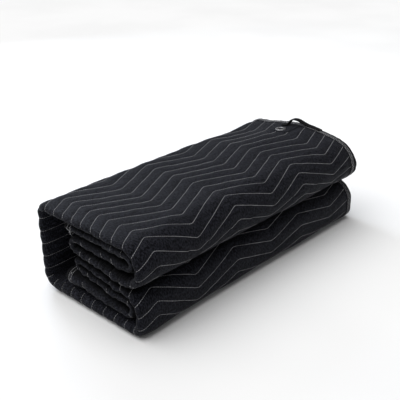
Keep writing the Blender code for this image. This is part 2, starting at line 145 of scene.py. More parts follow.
# Patch, eyelet and loop
PATCH_Y, PATCH_X = 0.0180, 0.2950
PATCH_SIDE_Y, PATCH_SIDE_X = 0.050, 0.077
PATCH_THICK, PATCH_SEAT = 0.0009, 0.0003
EYELET_X = 0.2720
LOOP_WIDE, LOOP_THICK = 0.0145, 0.0026
LOOP_LEFT = [
    (0.0310, 0.0, 0.300),
    (0.0230, 0.0, 0.301),
    (0.0180, 0.0005, 0.303),
    (0.0160, 0.0040, 0.306),
    (0.0140, 0.0085, 0.309),
    (0.0110, 0.0118, 0.312),
]
LOOP_RIGHT = [
    (0.0060, 0.0132, 0.316),
    (0.0000, 0.0116, 0.319),
    (-0.0060, 0.0084, 0.322),
    (-0.0125, 0.0046, 0.325),
    (-0.0200, 0.0020, 0.327),
    (-0.0290, 0.0008, 0.329),
    (-0.0530, 0.0, 0.329),
]

# The stitches: how far apart, how wide and tall, and their shape along and around
STITCH_PITCH, STITCH_GAP = 0.0042, 0.0008
STITCH_WIDE, STITCH_TALL = 0.00095, 0.0008
FOLD_WIDE, FOLD_TALL, FOLD_KEPT = 0.0009, 0.0007, 0.70
STITCH_SHAPE = [(0.0, 0.35), (0.18, 1.0), (0.82, 1.0), (1.0, 0.35)]
STITCH_AROUND = [(-0.5, 0.0), (0.0, 0.5), (0.5, 0.0), (0.0, -0.5)]
EDGE_RISE = 0.0012
FLARE, FLARE_OUT = (0.462, 0.482, 0.574, 0.644), 0.0110  # where the tape stands out, and how far

# Colours and light
CLOTH_DARK, CLOTH_LIGHT = (0.0016, 0.0018, 0.0032), (0.0205, 0.0215, 0.0285)
CLOTH_FINISH = {"Sheen_Weight": 0.045, "Sheen_Roughness": 0.35, "Specular_IOR_Level": 0.06}
TAPE_FINISH = {"Sheen_Weight": 0.02, "Sheen_Roughness": 0.35, "Specular_IOR_Level": 0.06}
THREAD_TONES = (0.24, 0.24, 0.25), (0.52, 0.52, 0.54)
# Painted shade: the thread in the folds, underneath and in the loose threads is a darker copy of the light
# thread
SHADED_FOLD_TONES = (0.16, 0.16, 0.17), (0.44, 0.44, 0.45)
EDGE_TONES = (0.20, 0.20, 0.21), (0.46, 0.46, 0.48)
WORLD_STRENGTH = 0.23
SUN_FROM, SUN_STRENGTH, SUN_WIDE = (-0.55, 0.75, 2.2), 2.95, 75.0
BOX_AT, BOX_TARGET, BOX_SIZE, BOX_POWER = (0.45, 1.75, 1.00), (-0.30, 0.10, 0.18), 0.6, 15.0
BOX_TINT = (0.80, 0.88, 1.0)

# The camera that took the picture, found from the bundle's corners in it
CAMERA_AT = (-1.0143, -0.8958, 0.7648)
CAMERA_AZIMUTH, CAMERA_ELEVATION = math.radians(-47.478), math.radians(25.574)
FOCAL_PX, FRAME_PX = 700, 400
SENSOR_MM = 36.0


def smooth(value, low, high):
    """0 below low, 1 above high and a soft S between them."""
    t = np.clip((value - low) / (high - low), 0.0, 1.0)
    return t * t * (3 - 2 * t)


def noise(u, v, seed=0):
    """Smooth noise from -1 to 1 on a lattice one unit wide."""
    u, v = np.broadcast_arrays(np.asarray(u, float), np.asarray(v, float))
    iu, iv = np.floor(u), np.floor(v)
    fu, fv = u - iu, v - iv
    su, sv = fu * fu * (3 - 2 * fu), fv * fv * (3 - 2 * fv)

    def corner(a, b):
        h = np.sin(a * 127.1 + b * 311.7 + seed * 74.7) * 43758.5453
        return (h - np.floor(h)) * 2 - 1

    low = corner(iu, iv) * (1 - su) + corner(iu + 1, iv) * su
    high = corner(iu, iv + 1) * (1 - su) + corner(iu + 1, iv + 1) * su
    return low * (1 - sv) + high * sv


def unit_rows(vectors):
    """Vectors made one long."""
    return vectors / np.linalg.norm(vectors, axis=-1, keepdims=True)


class Strip:
    """The folded strip's middle line in the YZ plane, with its thickness and set-back, as the part has it."""

    def __init__(self):
        heights = self.layer_heights()
        places = [(FREE_END_A[0], heights[FREE_END_A[1]])]
        places += [(c["y"], heights[c["layer"]]) for c in CORNERS]
        places += [(FREE_END_B[0], heights[FREE_END_B[1]])]
        self.places = [np.array(p) for p in places]
        self.segments, self.arcs = [], []
        start, s = self.places[0], 0.0
        for i, corner in enumerate(CORNERS, 1):
            here = self.places[i]
            into = self.unit(here - self.places[i - 1])
            out = self.unit(self.places[i + 1] - here)
            radius = corner["radius"] or self.half_turn(i)
            run = np.linalg.norm(here - radius * into - start)
            self.segments.append(("line", s, start, into))
            s += run
            side = math.copysign(1.0, into[0] * out[1] - into[1] * out[0])
            sweep = radius * math.pi / 2
            self.segments.append(("arc", s, here + radius * (out - into), into, radius, side))
            self.arcs.append((s, s + sweep))
            s += sweep
            start = here + radius * out
        self.segments.append(("line", s, start, self.unit(self.places[-1] - start)))
        self.total = s + np.linalg.norm(self.places[-1] - start)
        self.make_tables()

    @staticmethod
    def layer_heights():
        heights, top = {}, 0.0
        for name, row in LAYERS.items():
            heights[name] = top + row["thick"] / 2
            top += row["thick"] + LAYER_GAP
        return heights

    @staticmethod
    def unit(v):
        return v / np.linalg.norm(v)

    def half_turn(self, i):
        mate = i + 1 if i % 2 else i - 1
        return abs(self.places[i][1] - self.places[mate][1]) / 2

    def runs(self):
        """The stretches that are layers: where each begins and ends along the strip, and its name."""
        starts = [0.0] + [last for _, last in self.arcs[1::2]]
        ends = [first for first, _ in self.arcs[0::2]] + [self.total]
        names = [c["layer"] for c in CORNERS[0::2]] + [FREE_END_B[1]]
        return list(zip(starts, ends, names))

    def thickness_knots(self):
        knots = [((first + last) / 2, c["half"]) for (first, last), c in zip(self.arcs, CORNERS)]
        for first, last, name in self.runs():
            full = LAYERS[name]["thick"] / 2
            ramp = 0.0 if name in ("top", "bottom") else RAMP
            free = [first == 0.0, last == self.total]
            knots.append((first if free[0] else first + ramp, full - free[0] * END_PRESS))
            knots.append((last if free[1] else last - ramp, full - free[1] * END_PRESS))
            if any(free):
                knots.append((first + ramp if free[1] else last - ramp, full))
        knots.append(((self.arcs[6][1] + self.arcs[7][0]) / 2, SPINE_HALF))
        return sorted(set(knots))

    def point(self, s):
        """The middle line's point and its left-hand normal at a distance along the strip."""
        found = self.segments[0]
        for segment in self.segments:
            if s >= segment[1]:
                found = segment
        if found[0] == "line":
            _, first, start, along = found
            return (*(start + (s - first) * along), -along[1], along[0])
        _, first, centre, into, radius, side = found
        turn = side * (s - first) / radius
        c, d = math.cos(turn), math.sin(turn)
        normal = np.array([-(into[0] * d + into[1] * c), into[0] * c - into[1] * d])
        return (*(centre - side * radius * normal), *normal)

    def make_tables(self):
        """Tables of the line at close steps, and the marks that the quilting is laid out from."""
        self.s = np.arange(-0.03, self.total + 0.03, 0.00025)
        self.columns = np.array([self.point(s) for s in self.s]).T
        self.half_at = np.array(self.thickness_knots()).T
        back = [((first + last) / 2, LAYERS[name]["back"]) for first, last, name in self.runs()]
        self.back_at = np.array(back).T
        self.marks = {
            "start": 0.0,
            "first": self.arcs[4][0],
            "top_start": self.arcs[5][1],
            "spine_top_in": self.arcs[6][0],
            "spine_top_out": self.arcs[6][1],
            "spine_low_in": self.arcs[7][0],
            "front_low_out": self.arcs[8][1],
            "last": self.arcs[9][1],
            "end": self.total,
        }
        rate = np.ones_like(self.s)
        for (first, last), segment in zip(self.arcs, self.segments[1::2]):
            radius, side = segment[4:6]
            if side < 0:
                rate[(self.s >= first) & (self.s < last)] = 1 + self.half((first + last) / 2) / radius
        self.q = np.concatenate([[0], np.cumsum(rate[:-1]) * (self.s[1] - self.s[0])])
        self.q -= np.interp(0.0, self.s, self.q)
        self.long = float(self.to_q(self.total))

    def line(self, s):
        return [np.interp(s, self.s, column) for column in self.columns]

    def half(self, s):
        return np.interp(s, *self.half_at)

    def back(self, s):
        return np.interp(s, *self.back_at)

    def share(self, rows, s):
        """The value of a table of marks at distances along the strip."""
        return np.interp(s, [self.marks[name] + past for name, past, _ in rows], [row[2] for row in rows])

    def to_q(self, s):
        """The distance along the outer face, which is longer than the middle line round its bends."""
        return np.interp(s, self.s, self.q)

    def to_s(self, q):
        return np.interp(q, self.q, self.s)

    def lines(self):
        """The distances along the outer face at which the quilting lines lie."""
        return [FIRST_LINE + k * PITCH for k in range(100) if 0.004 < FIRST_LINE + k * PITCH < self.long - 0.004]


STRIP = Strip()


def pack(y, z):
    """The height of points once the layers inside the wrap are raised."""
    left = smooth(y, *PACK_ACROSS) * (1 - smooth(y, *PACK_CLEAR))
    return z + PACK_LIFT * left * smooth(z, *PACK_LOW) * (1 - smooth(z, *PACK_HIGH))


def settle(x, y, z):
    """Moves points of the even bundle to where they lie in the real one."""
    far = smooth(x, LIFT_FROM, LIFT_TO)
    across = np.cos(np.minimum(1.0, np.abs(y - DOME_Y) / (WIDE / 2)) * math.pi / 2) ** 2
    saddle = SADDLE * np.exp(-(((x - SADDLE_AT) / SADDLE_REACH) ** 2)) * smooth(y, 0.0, WIDE / 2)
    lifted = pack(y, z) * (1 + (LIFT * far * across - saddle) / TALL)
    spread = y - SPREAD * far * np.maximum(0.0, -y / (WIDE / 2))
    return np.stack([x - MIDDLE_X, spread - MIDDLE_Y, lifted], axis=-1)


def at(s, x, n):
    """Points n out from the strip's middle line, at distances s along it and places x."""
    y, z, ny, nz = STRIP.line(s)
    press = 1 - RIM_PRESS * (1 - smooth(x - NEAR_END, 0.0, RIM_REACH))
    return settle(x, y + n * press * ny, z + n * press * nz)


def above_floor(points, gap):
    """The same points with none lower than a gap above the floor."""
    raised = points.copy()
    raised[..., 2] = np.maximum(raised[..., 2], gap)
    return raised


def bend_row(u, column):
    """A column of the table of bends at places along the cloth, with the bends rounded."""
    places, values = [row[0] for row in BENDS], [row[column] for row in BENDS]
    return sum(w * np.interp(u + k * BEND_ROUND, places, values) for k, w in ((-1, 0.25), (0, 0.5), (1, 0.25)))


def zigzag(q, u):
    """How far aside the quilting lines lie: q is the line's own place, and u the place along it."""
    off = q - LINE_ON_TOP
    fade = 1 - smooth(np.abs(off), *APART_REACH)
    below = smooth(q, *LOWER_LOBE)
    aside = bend_row(u, 1) * (1 - below) + bend_row(u, 3) * below
    return aside + bend_row(u, 2) * np.clip(off, -APART_REACH[0], APART_REACH[0]) * fade


def top_place(y):
    """The distance along the strip at which its top layer is at a place across."""
    start = STRIP.arcs[5][1]
    return start + y - STRIP.line(start)[0]


def shown(s, x):
    """How much of the puffed relief shows: none underneath, at the bound edge or under the patch."""
    edge = 1 - smooth(x, CLOTH_EDGE - EDGE_FADE[0], CLOTH_EDGE - EDGE_FADE[1])
    patch = smooth(x, *PATCH_FADE_X) * (1 - smooth(np.abs(s - top_place(PATCH_Y)), *PATCH_FADE_Y))
    return STRIP.share(SWELL_ROWS, s) * edge * (1 - patch)


def puff(q):
    """0 at a quilting line and 1 half way to the next."""
    phase = ((q - FIRST_LINE) / PITCH) % 1
    return 1 - np.abs(2 * phase - 1) ** 2.2


def follow(q):
    """How much the lines follow the zigzag: not at the free ends."""
    return smooth(q, *FREE_FADE) * smooth(STRIP.long - q, *FREE_FADE)


def near_centre(q):
    """The place along the bundle of the near fold's centre, drawn in at the quilting lines."""
    s = STRIP.to_s(q)
    uneven = 0.0016 * noise(q / 0.055, 0.5, 3) + 0.0014 * noise(q / 0.011, 3.5, 6) * STRIP.share(INNER_SHARE, s)
    drawn = 0.0004 * (1 - puff(q)) + uneven + 0.0007
    return NEAR_END + STRIP.back(s) + STRIP.half(s) + drawn


def far_centre(q):
    """The place of the far fold's centre, which is uneven."""
    half = STRIP.half(STRIP.to_s(q))
    ply = (2 * half - 2 * PLY_GAP) / 3
    uneven = 0.0035 * noise(q / 0.013, 2.5, 4) + 0.003 * noise(q / 0.04, 1.5, 5)
    return FAR_FOLD - (ply + PLY_GAP / 2) + uneven


def cloth(q, t, out=0.0, plain=False):
    """The cloth's outside, and its own place: t to 1 is the outer face, to 2 the fold, to 3 the back."""
    q, t = np.broadcast_arrays(np.asarray(q, float), np.asarray(t, float))
    half, near = STRIP.half(STRIP.to_s(q)), near_centre(q)
    turn = np.clip(t - 1, 0, 1) * math.pi
    face, back = np.clip(t, 0, 1), np.clip(t - 2, 0, 1)
    x_face = CLOTH_EDGE + face * (near - CLOTH_EDGE)
    x_back = near + back * (far_centre(q) - near)
    u = np.where(t <= 1, x_face, near - turn * half - (x_back - near))
    moved = q + follow(q) * zigzag(q, u) * (1 - smooth(t, 2.15, 2.6))
    s = STRIP.to_s(moved)
    crest = 1.0 if plain else puff(q)
    hidden = STRIP.share(INNER_SHARE, s)
    swell = shown(s, x_face) * (1 - smooth(t, 1.5, 2.0))
    near_rim = 1 - smooth(np.minimum(x_face, x_back) - near, 0.03, 0.09)
    inner = np.maximum(near_rim, smooth(t, 2.0, 2.1) * spine_share(s))
    rise = swell * (RELIEF * crest - GROOVE * (1 - crest)) - (1 - swell) * inner * HIDDEN_GROOVE * (1 - crest)
    if not plain:
        wide = 0.0009 * noise(u / 0.055, moved / 0.04, 7)
        small = 0.0005 * noise(u / 0.017, moved / 0.022, 8)
        pleat = (0.0004 + 0.0019 * hidden) * noise(moved / 0.0068, u / 0.03, 9) * near_rim
        rise = rise + (wide + small) * swell + pleat
    n = (half + rise + out) * np.cos(turn)
    x = np.where(t <= 1, x_face, x_back) - (half + rise + out) * np.sin(turn)
    # Painted shade: the hidden layers darken towards the gaps where each fold meets the next layer
    shade = 1 - GAP_SHADE * hidden * smooth(np.abs(np.cos(turn)), *GAP_REACH)
    return above_floor(at(s, x, n), FLOOR_GAP), np.stack([u, moved, puff(q), shade], axis=-1)


def spine_share(s):
    """1 where the third ply's face shows inside the folded bundle, at the spine."""
    low, high = STRIP.marks["spine_top_in"] - 0.03, STRIP.marks["spine_low_in"] + 0.05
    return smooth(s, low - 0.02, low) * (1 - smooth(s, high, high + 0.02))


def inner_rows(q, thick=1.0, far_steps=8):
    """The rest of the three plies' outline, from the far fold to the cut edge, as (x, n) rows."""
    half = float(STRIP.half(STRIP.to_s(q)))
    ply = (2 * half - 2 * PLY_GAP) / 3
    step, ply = ply + PLY_GAP, ply * thick
    near, far = float(near_centre(q)), float(far_centre(q))
    tuck = near + TUCK_BACK
    rows = []

    def arc(x, n, radius, first, last, count):
        for k in range(count + 1):
            a = math.radians(first + (last - first) * k / count)
            rows.append((x + radius * math.cos(a), n + radius * math.sin(a)))

    arc(far, -step / 2, step / 2 + ply / 2, -90, 90, far_steps)
    rows.extend((x, ply / 2) for x in reversed(INNER_ROWS))
    rows.extend([(tuck, ply / 2), (tuck, -ply / 2)])
    rows.extend((x, -ply / 2) for x in INNER_ROWS)
    arc(far, -step / 2, step / 2 - ply / 2, 90, -90, 4)
    rows.extend((x, -step + ply / 2) for x in reversed(INNER_ROWS))
    arc(near, 0.0, step - ply / 2, 270, 90, 6)
    rows.extend((x, step - ply / 2) for x in INNER_ROWS)
    rows.append((CLOTH_EDGE, step - ply / 2))
    return np.array(rows[1:])


def stations():
    """The distances along the outer face of the cloth's rings, close together where the cloth shows."""
    low, high = (float(STRIP.to_q(STRIP.marks[name])) for name in ("first", "last"))
    found = [0.0, STRIP.long]
    for start in [FIRST_LINE - PITCH, *STRIP.lines()]:
        phases = SHOWN_PHASES if low - PITCH < start < high else HIDDEN_PHASES
        found += [start + phase * PITCH for phase in phases]
    found = sorted(q for q in found if 0.0 <= q <= STRIP.long)
    kept = [found[0]]
    for q in found[1:]:
        if q - kept[-1] > 0.0012:
            kept.append(q)
    kept[-1] = STRIP.long
    return np.array(kept)


def face_rows():
    """The rows of the cloth's outside, from its cut edge to the far fold."""
    face = np.linspace(0, 1, FACE_ROWS + 1)
    fold = 1 + np.arange(1, FOLD_ROWS) / FOLD_ROWS
    return np.concatenate([face, fold, [2.0], 2 + np.array(BACK_ROWS)])


def close_end(points, start, flip):
    """Faces that fill a ring of points whose plane runs along X."""
    spread = points[:, 1:] - points[:, 1:].mean(axis=0)
    across = np.linalg.svd(spread)[2][0]
    flat = [Vector((x, float(offset @ across))) for x, offset in zip(points[:, 0], spread)]
    faces, origins = delaunay_2d_cdt(flat, [], [list(range(len(flat)))], 1, 1e-7)[2:4]
    found = [[start + origins[i][0] for i in face] for face in faces]
    return [face[::-1] for face in found] if flip else found


def tube_faces(count, around, start=0):
    """Quads that join rings of points one after another."""
    a = np.arange(count - 1)[:, None] * around + np.arange(around)[None, :]
    b = np.arange(count - 1)[:, None] * around + (np.arange(around)[None, :] + 1) % around
    quads = np.stack([a, b, b + around, a + around], axis=-1).reshape(-1, 4)
    return (quads + start).tolist()


def add_mesh(name, points, faces, material, places=None):
    """A smooth mesh object from points and faces, which are given already turned outwards."""
    mesh = bpy.data.meshes.new(name)
    mesh.from_pydata(np.asarray(points, float).reshape(-1, 3).tolist(), [], faces)
    if places is not None:
        places = np.asarray(places, np.float32).reshape(-1, np.shape(places)[-1])
        store = mesh.attributes.new("cloth", "FLOAT_VECTOR", "POINT")
        store.data.foreach_set("vector", places[:, :3].ravel())
        if places.shape[1] > 3:
            mesh.attributes.new("shade", "FLOAT", "POINT").data.foreach_set("value", places[:, 3].copy())
    mesh.validate()
    mesh.shade_smooth()
    mesh.materials.append(material)
    item = bpy.data.objects.new(name, mesh)
    bpy.context.scene.collection.objects.link(item)
    return item


def signed_volume(points, faces):
    """Six times the volume inside faces, negative where they face inwards."""
    total = 0.0
    points = np.asarray(points, float).reshape(-1, 3)
    for size in (3, 4):
        group = np.array([f for f in faces if len(f) == size])
        if not len(group):
            continue
        a, b, c = (points[group[:, k]] for k in range(3))
        total += float((a * np.cross(b, c)).sum())
        if size == 4:
            d = points[group[:, 3]]
            total += float((a * np.cross(c, d)).sum())
    return total


def add_sweep(name, rings, material, places=None):
    """A closed solid through rings of points, which has its places on the cloth where they are given."""
    rings = np.asarray(rings, float)
    count, around = rings.shape[:2]
    faces = tube_faces(count, around)
    faces += close_end(rings[0], 0, False)
    last = close_end(rings[-1], (count - 1) * around, True)
    faces += last
    if signed_volume(rings, faces) < 0:
        faces = [face[::-1] for face in faces]
    return add_mesh(name, rings, faces, material, places)


def make_blanket(material):
    """The whole cloth, its three plies swept along the strip."""
    rows = face_rows()
    rings, places = [], []
    for q in stations():
        points, place = cloth(q, rows)
        inner = inner_rows(q)
        rings.append(np.concatenate([points, at(STRIP.to_s(q), inner[:, 0], inner[:, 1])]))
        ones = np.ones(len(inner))
        # Painted shade: the rest of the three plies, inside the folds, is darkened throughout
        rest = np.stack([inner[:, 0], q * ones, ones, (1 - GAP_SHADE) * ones], axis=-1)
        places.append(np.concatenate([place, rest]))
    return add_sweep("quilted_cloth", rings, material, np.array(places))


def edge_profile(half):
    """The edge tape's outline: a flap over the cloth, a soft nose and a flat back."""
    ply = (2 * half - 2 * PLY_GAP) / 3
    low, top, over = half - ply, half + 0.0010, CLOTH_EDGE - 0.0060
    return np.array(
        [
            (over, half + 0.0001),
            (over - 0.0002, half + 0.0007),
            (over + 0.0012, top + 0.0001),
            (over + 0.0060, top - 0.0002),
            (FAR_EDGE - 0.0050, top),
            (FAR_EDGE - 0.0020, half + 0.0002),
            (FAR_EDGE - 0.0004, half - 0.0016),
            (FAR_EDGE, half - ply / 2),
            (FAR_EDGE - 0.0006, low + 0.0012),
            (FAR_EDGE - 0.0030, low + 0.0001),
            (CLOTH_EDGE + 0.0008, low + 0.0001),
            (CLOTH_EDGE + 0.0003, half - 0.0008),
        ]
    )


def edge_lift(s):
    """How the edge tape puckers between its stitches."""
    return 0.0006 * noise(s / 0.006, 0.5, 21) + 0.0007 * noise(s / 0.021, 0.5, 22)


def edge_flare(s):
    """How far the tape stands out at the far end of the upper lobe, where it is crumpled."""
    q = STRIP.to_q(s)
    reach = smooth(q, FLARE[0], FLARE[1]) * (1 - smooth(q, FLARE[2], FLARE[3]))
    low = 1 - smooth(q, FLARE[1], FLARE[2])
    return reach * (FLARE_OUT * (1 + 0.8 * low) + 0.0035 * noise(q / 0.006, 0.5, 23))


def make_edge_binding(material):
    """The tape along the outer ply's cut edge, folded over it."""
    rings, places = [], []
    for s in np.linspace(0, STRIP.total, round(STRIP.total / 0.0026)):
        profile = edge_profile(float(STRIP.half(s)))
        lift = edge_lift(s) * STRIP.share(SWELL_ROWS, s)
        past = 1.1 * edge_lift(s + 0.3) + edge_flare(s)
        x = profile[:, 0] + past * smooth(profile[:, 0], CLOTH_EDGE + 0.003, FAR_EDGE)
        n = profile[:, 1] + lift * (profile[:, 1] > float(STRIP.half(s)) - 0.002)
        rings.append(above_floor(at(s, x, n), FLOOR_GAP))
        places.append(np.stack([x, np.full(len(x), s), np.ones(len(x))], axis=-1))
    return add_sweep("edge_tape", rings, material, np.array(places))


END_TAPE = [(-0.0130, 0.30), (-0.0126, 0.62), (-0.0115, 0.86), (-0.0090, 1.0), (-0.0055, 1.06), (-0.0003, 1.08)]
END_TAPE += [(0.0030, 1.10), (0.0062, 1.10), (0.0066, 1.02)]


def make_end_binding(name, base, sense, material):
    """The tape on a free end of the strip, folded over the ends of all three plies."""
    rings, places = [], []
    for past, thick in END_TAPE:
        s = base + sense * past
        t = np.concatenate([np.linspace(0, 1, 60), 1 + np.arange(1, 10) / 10, [2.0, 2.3, 2.6, 3.0]])
        half = float(STRIP.half(s))
        inside = float(STRIP.to_q(min(max(s, 0.0), STRIP.total)))
        ply = (2 * half - 2 * PLY_GAP) / 3
        grown = half + ply * (thick - 1) / 2
        near = float(near_centre(inside))
        far = float(far_centre(inside))
        turn = np.clip(t - 1, 0, 1) * math.pi
        along = np.where(t <= 1, CLOTH_EDGE + t * (near - CLOTH_EDGE), near + (t - 2) * (far - near))
        x = np.where((t > 1) & (t < 2), near, along) - grown * np.sin(turn)
        outside = at(s, x, grown * np.cos(turn))
        inner = inner_rows(inside, thick)
        rings.append(np.concatenate([outside, at(s, inner[:, 0], inner[:, 1])]))
        count = len(rings[-1])
        u = np.concatenate([x, inner[:, 0]])
        places.append(np.stack([u, np.full(count, s), np.ones(count)], axis=-1))
    return add_sweep(name, rings, material, np.array(places))


def stitch_starts(points, pitch, gap):
    """The two ends of each stitch along a path, a pitch apart with a gap between them."""
    long = np.concatenate([[0], np.cumsum(np.linalg.norm(np.diff(points, axis=0), axis=1))])
    count = max(1, int(long[-1] / pitch))
    starts = np.arange(count) * (long[-1] / count)
    return long, starts, starts + long[-1] / count - gap


def read_path(w, long, table):
    return np.stack([np.interp(w, long, table[:, k]) for k in range(3)], axis=-1)


def stitch_ends(paths, pitch, gap):
    """The ends and outward directions of the stitches along paths, each a (points, normals) pair."""
    firsts, lasts, ups = [], [], []
    for points, normals in paths:
        long, starts, ends = stitch_starts(points, pitch, gap)
        firsts.append(read_path(starts, long, points))
        lasts.append(read_path(ends, long, points))
        ups.append(read_path((starts + ends) / 2, long, normals))
    return np.concatenate(firsts), np.concatenate(lasts), np.concatenate(ups)


def thread_mesh(firsts, lasts, ups, wide, tall):
    """Points and faces of short soft stitches between pairs of ends."""
    along = unit_rows(lasts - firsts)
    side = unit_rows(np.cross(ups, along))
    up = np.cross(along, side)
    rings = []
    for share, size in STITCH_SHAPE:
        middle = firsts + (lasts - firsts) * share + up * tall * (size - 1) / 2
        ring = [middle + side * wide * size * p + up * tall * size * q for p, q in STITCH_AROUND]
        rings.append(np.stack(ring, axis=1))
    solid = np.stack(rings, axis=1)
    around = len(STITCH_AROUND)
    each = len(STITCH_SHAPE) * around
    block = tube_faces(len(STITCH_SHAPE), around)
    block += [list(range(around))[::-1], list(range(each - around, each))]
    if signed_volume(solid[0], block) < 0:
        block = [face[::-1] for face in block]
    block = np.array(block)
    faces = (block[None] + np.arange(len(solid))[:, None, None] * each).reshape(-1, around)
    return solid.reshape(-1, 3), faces.tolist()


def join(parts):
    """One list of points and faces from several."""
    points, faces, start = [], [], 0
    for some_points, some_faces in parts:
        points.append(some_points)
        faces += [[i + start for i in face] for face in some_faces]
        start += len(some_points)
    return np.concatenate(points), faces


def cloth_path(q, t, out):
    """A path over the cloth's outside with its outward normals."""
    points, _ = cloth(q, t, out)
    ahead, _ = cloth(q + 0.0022, t, out, True)
    behind, _ = cloth(q - 0.0022, t, out, True)
    across = ahead - behind
    along = np.gradient(points, axis=0)
    normal = np.cross(along, across)
    normal /= np.linalg.norm(normal, axis=1, keepdims=True)
    level, _ = cloth(q, t, out - 0.002, True)
    facing = ((points - level) * normal).sum(axis=1).mean()
    return points, normal * math.copysign(1.0, facing)


def quilting_paths():
    """The quilting lines: whole on the shown faces and at the spine, and in parts on the inner folds."""
    shown_paths, fold_paths = [], []
    marks, chance = STRIP.marks, np.random.default_rng(5)
    for q in STRIP.lines():
        s = float(STRIP.to_s(q))
        on_wrap = marks["first"] - 0.012 < s < marks["last"] + 0.012
        under = marks["spine_low_in"] + 0.022 < s < marks["front_low_out"] - 0.012
        if on_wrap and not under:
            shown_paths.append(cloth_path(q, np.linspace(0.0, 1.0, 320), 0.0002))
            shown_paths.append(cloth_path(q, np.linspace(1.0, 1.5, 60), 0.0002))
            if spine_share(s) > 0.5:
                fold_paths.append(cloth_path(q, np.linspace(1.5, 2.6, 120), 0.0002))
        elif under:
            fold_paths.append(cloth_path(q, np.linspace(1.0, 2.0, 80), 0.0002))
        elif chance.random() < FOLD_KEPT:
            first = 1.1 + 0.4 * chance.random()
            fold_paths.append(cloth_path(q, np.linspace(first, first + 0.2 + 0.4 * chance.random(), 60), 0.0002))
    return shown_paths, fold_paths


def make_quilting(material, shaded_fold_material):
    """The quilting thread, as one mesh on the shown faces and one round the folds, which has a darker copy of
    the thread for painted shade.
    """
    shown_paths, fold_paths = quilting_paths()
    ends = stitch_ends(shown_paths, STITCH_PITCH, STITCH_GAP)
    made = [add_mesh("quilting_thread", *thread_mesh(*ends, STITCH_WIDE, STITCH_TALL), material)]
    ends = stitch_ends(fold_paths, STITCH_PITCH, STITCH_GAP)
    made.append(add_mesh("shaded_fold_thread", *thread_mesh(*ends, FOLD_WIDE, FOLD_TALL), shaded_fold_material))
    return made


def edge_path(s, x, rise):
    """A path over the edge tape with its outward normals."""
    level = STRIP.half(s) + rise + edge_lift(s) * STRIP.share(SWELL_ROWS, s)
    points = at(s, x, level)
    return above_floor(points, THREAD_GAP), unit_rows(points - at(s, x, level - 0.002))


def make_edge_stitches(material):
    """Two rows of stitches along the edge tape, with a zigzag between them."""
    s = np.linspace(0.004, STRIP.total - 0.004, 1600)
    low, high = CLOTH_EDGE - 0.0042, CLOTH_EDGE + 0.0030
    rows = [edge_path(s, np.full_like(s, x), EDGE_RISE) for x in (low, high)]
    straight = thread_mesh(*stitch_ends(rows, 0.0036, 0.0007), 0.0011, 0.0009)
    rungs = np.arange(0.006, STRIP.total - 0.006, 0.0034)
    inset = np.where(np.arange(len(rungs)) % 2 == 0, low + 0.0009, high - 0.0009)
    points, normals = edge_path(rungs, inset, EDGE_RISE)
    between = thread_mesh(points[:-1], points[1:], normals[:-1], 0.0008, 0.0007)
    return add_mesh("edge_stitches", *join([straight, between]), material)


def make_end_stitches(name, base, sense, material):
    """Two rows of stitches over the tape of a free end, round its near fold."""
    paths = []
    for past in (-0.0030, 0.0042):
        s = base + sense * past
        half = float(STRIP.half(s)) + 0.0006
        near = float(near_centre(STRIP.to_q(min(max(s, 0.0), STRIP.total))))
        t = np.linspace(0.80, 2.12, 90)
        turn = np.clip(t - 1, 0, 1) * math.pi
        run = near + (1 - np.clip(t, 0, 1)) * LENGTH + np.clip(t - 2, 0, 1) * LENGTH
        x = np.where((t > 1) & (t < 2), near, run) - half * np.sin(turn)
        points = at(s, x, half * np.cos(turn))
        low = half - 0.002
        inner = at(s, np.where((t > 1) & (t < 2), near, run) - low * np.sin(turn), low * np.cos(turn))
        paths.append((points, unit_rows(points - inner)))
    return add_mesh(name, *thread_mesh(*stitch_ends(paths, 0.0036, 0.0008), 0.0012, 0.0010), material)


def on_top(y, x, rise):
    """Points over the outer face of the top layer, straight out from it."""
    y, x, rise = np.broadcast_arrays(np.asarray(y, float), np.asarray(x, float), np.asarray(rise, float))
    s = top_place(y)
    here = at(s, x, STRIP.half(s))
    along = at(s, x + 0.001, STRIP.half(s)) - here
    across = at(s + 0.001, x, STRIP.half(s + 0.001)) - here
    return here + rise[..., None] * unit_rows(np.cross(along, across))


def rounded_square(angle, side_y, side_x, power=9.0):
    """The corner-rounded square's reach at an angle, as (y, x)."""
    c, d = np.cos(angle), np.sin(angle)
    reach = (np.abs(c / (side_x / 2)) ** power + np.abs(d / (side_y / 2)) ** power) ** (-1 / power)
    return reach * d, reach * c


# The patch's section from its hole outwards: share of the way to its edge, and height share
PATCH_ROWS = [
    (0.0, 0.0),
    (0.0, 0.93),
    (0.03, 1.0),
    (0.30, 1.02),
    (0.62, 1.03),
    (0.80, 1.0),
    (0.865, 0.90),
    (0.90, 0.86),
    (0.935, 0.90),
    (0.965, 0.93),
    (0.99, 0.84),
    (1.0, 0.62),
    (1.0, 0.30),
    (0.992, 0.06),
    (0.97, 0.0),
]
PATCH_HOLE = 0.0078
PATCH_STEPS = 128


